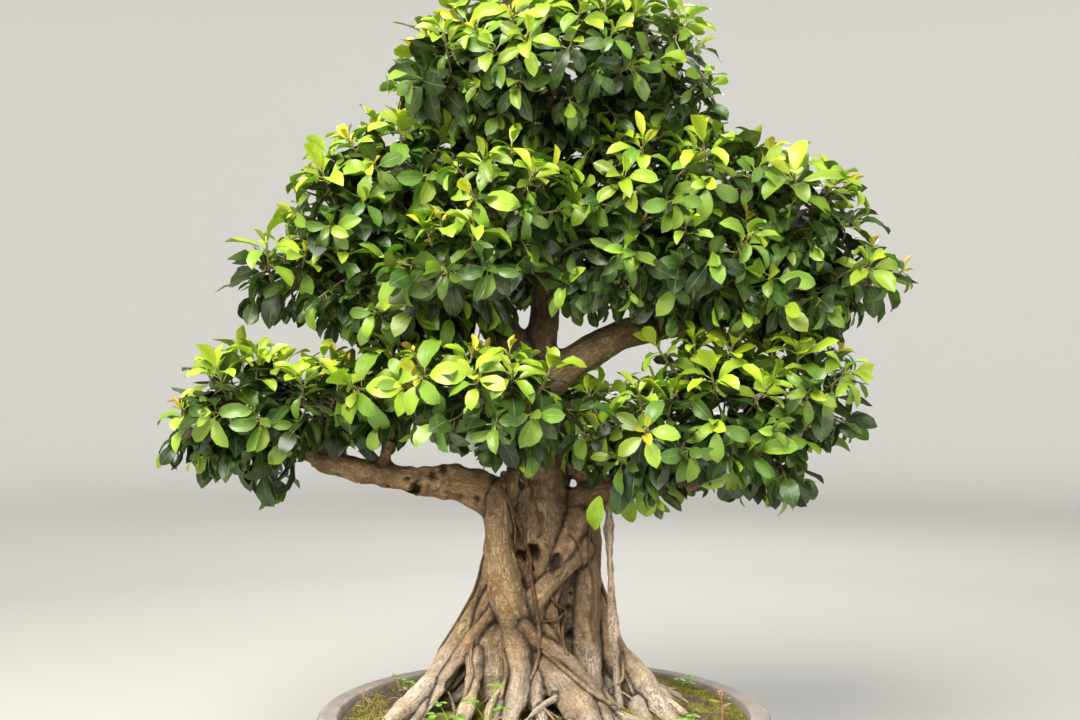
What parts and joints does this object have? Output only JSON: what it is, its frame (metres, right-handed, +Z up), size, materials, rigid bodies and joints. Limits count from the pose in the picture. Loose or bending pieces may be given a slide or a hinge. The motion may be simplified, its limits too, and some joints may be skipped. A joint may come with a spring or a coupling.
{
  "type": "ficus ginseng bonsai",
  "caption": "Ficus bonsai with a fluted trunk on spread roots, leafy pads on its branches, moss-covered soil and a round shallow pot with a flat rim.",
  "frame": {"origin": "on the ground under the middle of the whole outline, seen from above", "axes": "+Z up the trunk, -Y towards the viewer of the picture, +X to the viewer's right"},
  "size_m": [0.9004, 0.54, 0.9829],
  "materials": {
    "clay": "unglazed grey-brown clay, matt",
    "screen": "dark plastic mesh",
    "soil": "damp crumbly soil with moss",
    "bark": "smooth weathered bark, matt",
    "clover": "thin matt leaflets",
    "sprout": "thin reddish stem and leaves",
    "leaf": "glossy leathery leaves on thin twigs"
  },
  "bodies": {
    "root": {"pot": "clay", "drain_screen": "screen", "soil": "soil", "trunk": "bark", "clover_front": "clover", "clover_left": "clover", "sprout": "sprout", "foliage_crown": "leaf", "foliage_upper_left": "leaf", "foliage_upper_front": "leaf", "foliage_upper_right": "leaf", "foliage_lower_left": "leaf", "foliage_lower_front": "leaf", "foliage_lower_right": "leaf", "foliage_lower_back": "leaf", "foliage_upper_back": "leaf"}
  },
  "joints": []
}
